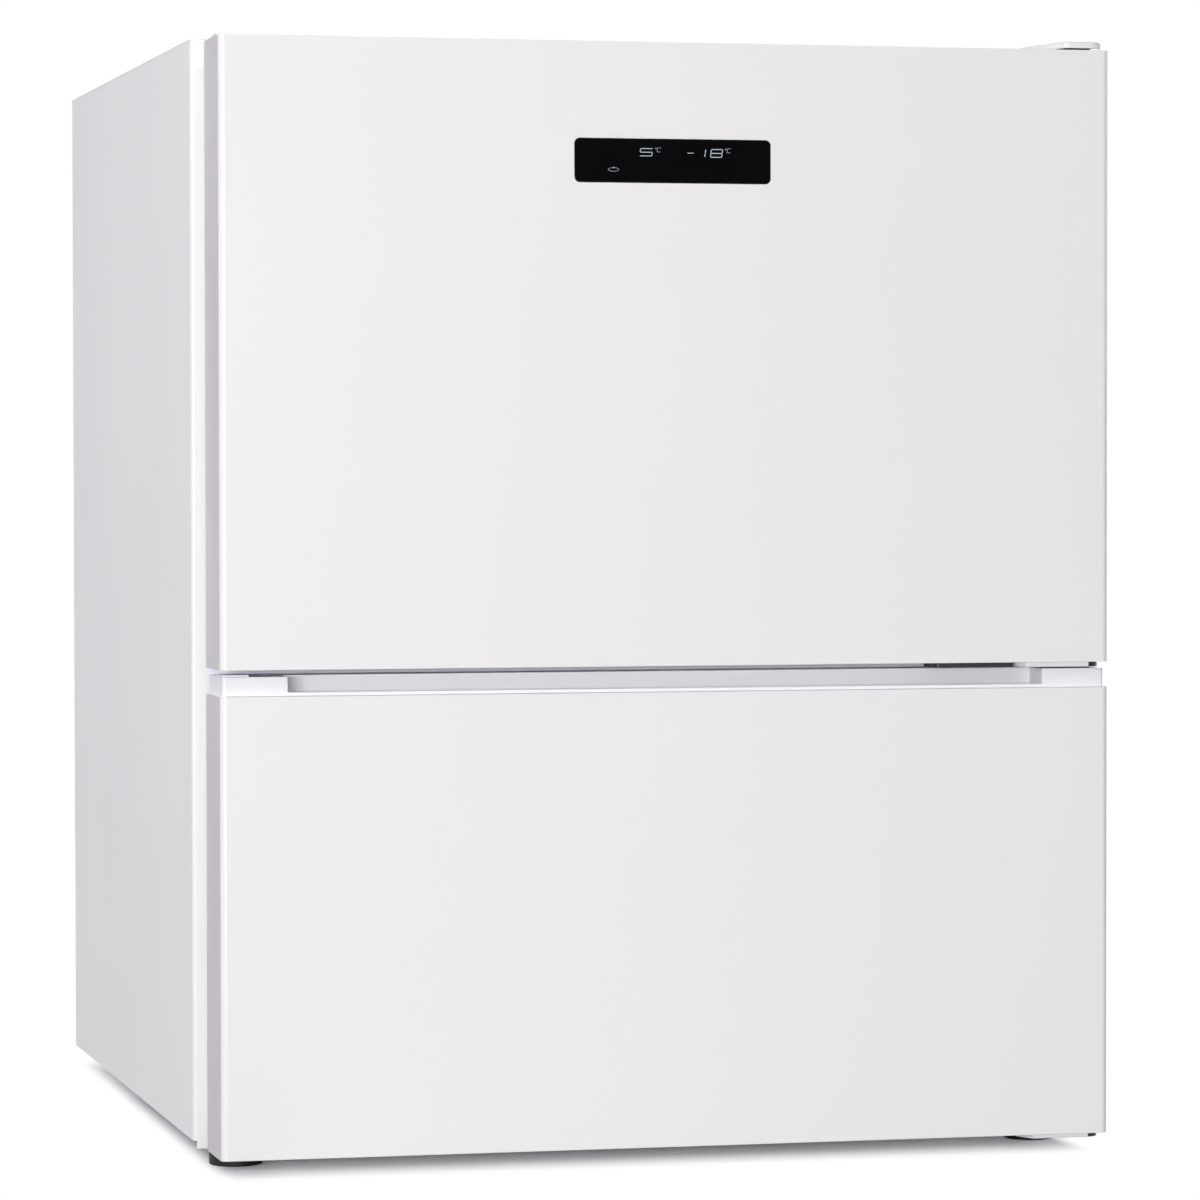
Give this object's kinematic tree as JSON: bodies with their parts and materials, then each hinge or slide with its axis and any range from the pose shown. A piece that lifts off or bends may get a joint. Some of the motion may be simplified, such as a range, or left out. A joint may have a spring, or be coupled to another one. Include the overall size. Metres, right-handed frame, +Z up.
{
  "type": "fridge freezer",
  "caption": "Free-standing white fridge freezer with a larger upper fridge door, a lower freezer door with a recessed grip, and a black glass touch display.",
  "frame": {"origin": "centre of the footprint's bounding box, on the floor under the feet", "axes": "+Z up, the doors face -Y, +X to the viewer's right as the viewer faces the doors"},
  "size_m": [0.7, 0.726, 0.8449],
  "materials": {
    "enamel_white": "gloss white enamel",
    "frame_white": "satin white enamel",
    "back_steel": "satin light grey coated sheet",
    "zinc_steel": "zinc-plated sheet",
    "pin_steel": "dark plated steel",
    "coil_aluminium": "mill finish",
    "compressor_black": "gloss black enamel",
    "copper": "drawn copper tube",
    "liner_white": "gloss moulded sheet",
    "trim_white": "satin moulded plastic",
    "bush_grey": "matt moulded plastic",
    "foot_black": "matt moulded plastic",
    "inlet_black": "matt moulded plastic",
    "vent_grey": "matt sheet",
    "board_green": "circuit board",
    "clear_tray": "clear moulded plastic",
    "lens_clear": "frosted lens",
    "foam_yellow": "rigid foam",
    "gasket_white": "soft matt strip",
    "mount_rubber": "matt rubber",
    "display_black": "gloss black printed glass",
    "shelf_clear": "clear toughened glass"
  },
  "bodies": {
    "cabinet": {"side_panel_left": "enamel_white", "side_panel_right": "enamel_white", "top_panel": "enamel_white", "back_panel": "back_steel", "base_frame": "frame_white", "compressor_base": "zinc_steel", "roller_axles": "zinc_steel", "step_panel": "zinc_steel", "mullion_rail": "frame_white", "fridge_liner": "liner_white", "freezer_liner": "liner_white", "insulation_foam": "foam_yellow", "top_hinge_bracket": "zinc_steel", "middle_hinge_bracket": "pin_steel", "bottom_hinge_bracket": "pin_steel", "hinge_pins": "pin_steel", "hinge_screws": "zinc_steel", "hinge_covers": "trim_white", "flange_plug": "trim_white", "shelf_glass": "shelf_clear", "shelf_trims": "trim_white", "air_duct": "trim_white", "fridge_light": "lens_clear", "evaporator_cover": "trim_white", "fan_motor": "bush_grey", "evaporator": "coil_aluminium", "compressor": "compressor_black", "compressor_mounts": "mount_rubber", "refrigerant_pipes": "copper", "vent_cover": "vent_grey", "power_inlet": "inlet_black"},
    "upper_door": {"upper_door_skin": "enamel_white", "upper_door_end_caps": "trim_white", "upper_door_bushes": "bush_grey", "upper_door_blank_plug": "trim_white", "upper_door_foam": "foam_yellow", "upper_door_liner": "liner_white", "upper_door_gasket": "gasket_white", "display_glass": "display_black", "display_housing": "bush_grey", "display_board": "board_green", "bottle_bin": "clear_tray", "middle_door_bin": "clear_tray", "top_door_bin": "clear_tray"},
    "lower_door": {"lower_door_skin": "enamel_white", "lower_door_grip_cap": "trim_white", "lower_door_bottom_cap": "trim_white", "lower_door_bushes": "bush_grey", "lower_door_blank_plug": "trim_white", "lower_door_foam": "foam_yellow", "lower_door_liner": "liner_white", "lower_door_gasket": "gasket_white"},
    "crisper": {"crisper_drawer": "clear_tray"},
    "freezer_lower_drawer": {"freezer_drawer_lower": "clear_tray"},
    "freezer_upper_drawer": {"freezer_drawer_upper": "clear_tray"},
    "fan": {"fan_impeller": "bush_grey"},
    "left_foot": {"front_foot_left": "foot_black"},
    "right_foot": {"front_foot_right": "foot_black"},
    "left_roller": {"rear_roller_left": "foot_black"},
    "right_roller": {"rear_roller_right": "foot_black"}
  },
  "joints": [
    {"name": "upper_door_hinge", "type": "hinge", "parent": "cabinet", "child": "upper_door", "pos_m": [0.328, -0.343, 0.6065], "axis": [0, 0, 1], "range_deg": [0, 120]},
    {"name": "lower_door_hinge", "type": "hinge", "parent": "cabinet", "child": "lower_door", "pos_m": [0.328, -0.343, 0.193], "axis": [0, 0, 1], "range_deg": [0, 120]},
    {"name": "crisper_slide", "type": "slide", "parent": "cabinet", "child": "crisper", "axis": [0, -1, 0], "range_m": [0, 0.17]},
    {"name": "freezer_lower_drawer_slide", "type": "slide", "parent": "cabinet", "child": "freezer_lower_drawer", "axis": [0, -1, 0], "range_m": [0, 0.106]},
    {"name": "freezer_upper_drawer_slide", "type": "slide", "parent": "cabinet", "child": "freezer_upper_drawer", "axis": [0, -1, 0], "range_m": [0, 0.106]},
    {"name": "fan_spin", "type": "hinge", "parent": "cabinet", "child": "fan", "pos_m": [0, 0.118, 0.292], "axis": [0, 1, 0], "continuous": true},
    {"name": "left_foot_turn", "type": "hinge", "parent": "cabinet", "child": "left_foot", "pos_m": [-0.313, -0.257, 0.015], "axis": [0, 0, 1], "continuous": true},
    {"name": "right_foot_turn", "type": "hinge", "parent": "cabinet", "child": "right_foot", "pos_m": [0.313, -0.257, 0.015], "axis": [0, 0, 1], "continuous": true},
    {"name": "left_roller_spin", "type": "hinge", "parent": "cabinet", "child": "left_roller", "pos_m": [-0.3, 0.323, 0.014], "axis": [1, 0, 0], "continuous": true},
    {"name": "right_roller_spin", "type": "hinge", "parent": "cabinet", "child": "right_roller", "pos_m": [0.3, 0.323, 0.014], "axis": [1, 0, 0], "continuous": true}
  ],
  "couplings": [
    {"joint": "crisper_slide", "follows": "upper_door_hinge", "m_per_rad": 0.08},
    {"joint": "freezer_lower_drawer_slide", "follows": "lower_door_hinge", "m_per_rad": 0.05},
    {"joint": "freezer_upper_drawer_slide", "follows": "lower_door_hinge", "m_per_rad": 0.05}
  ]
}
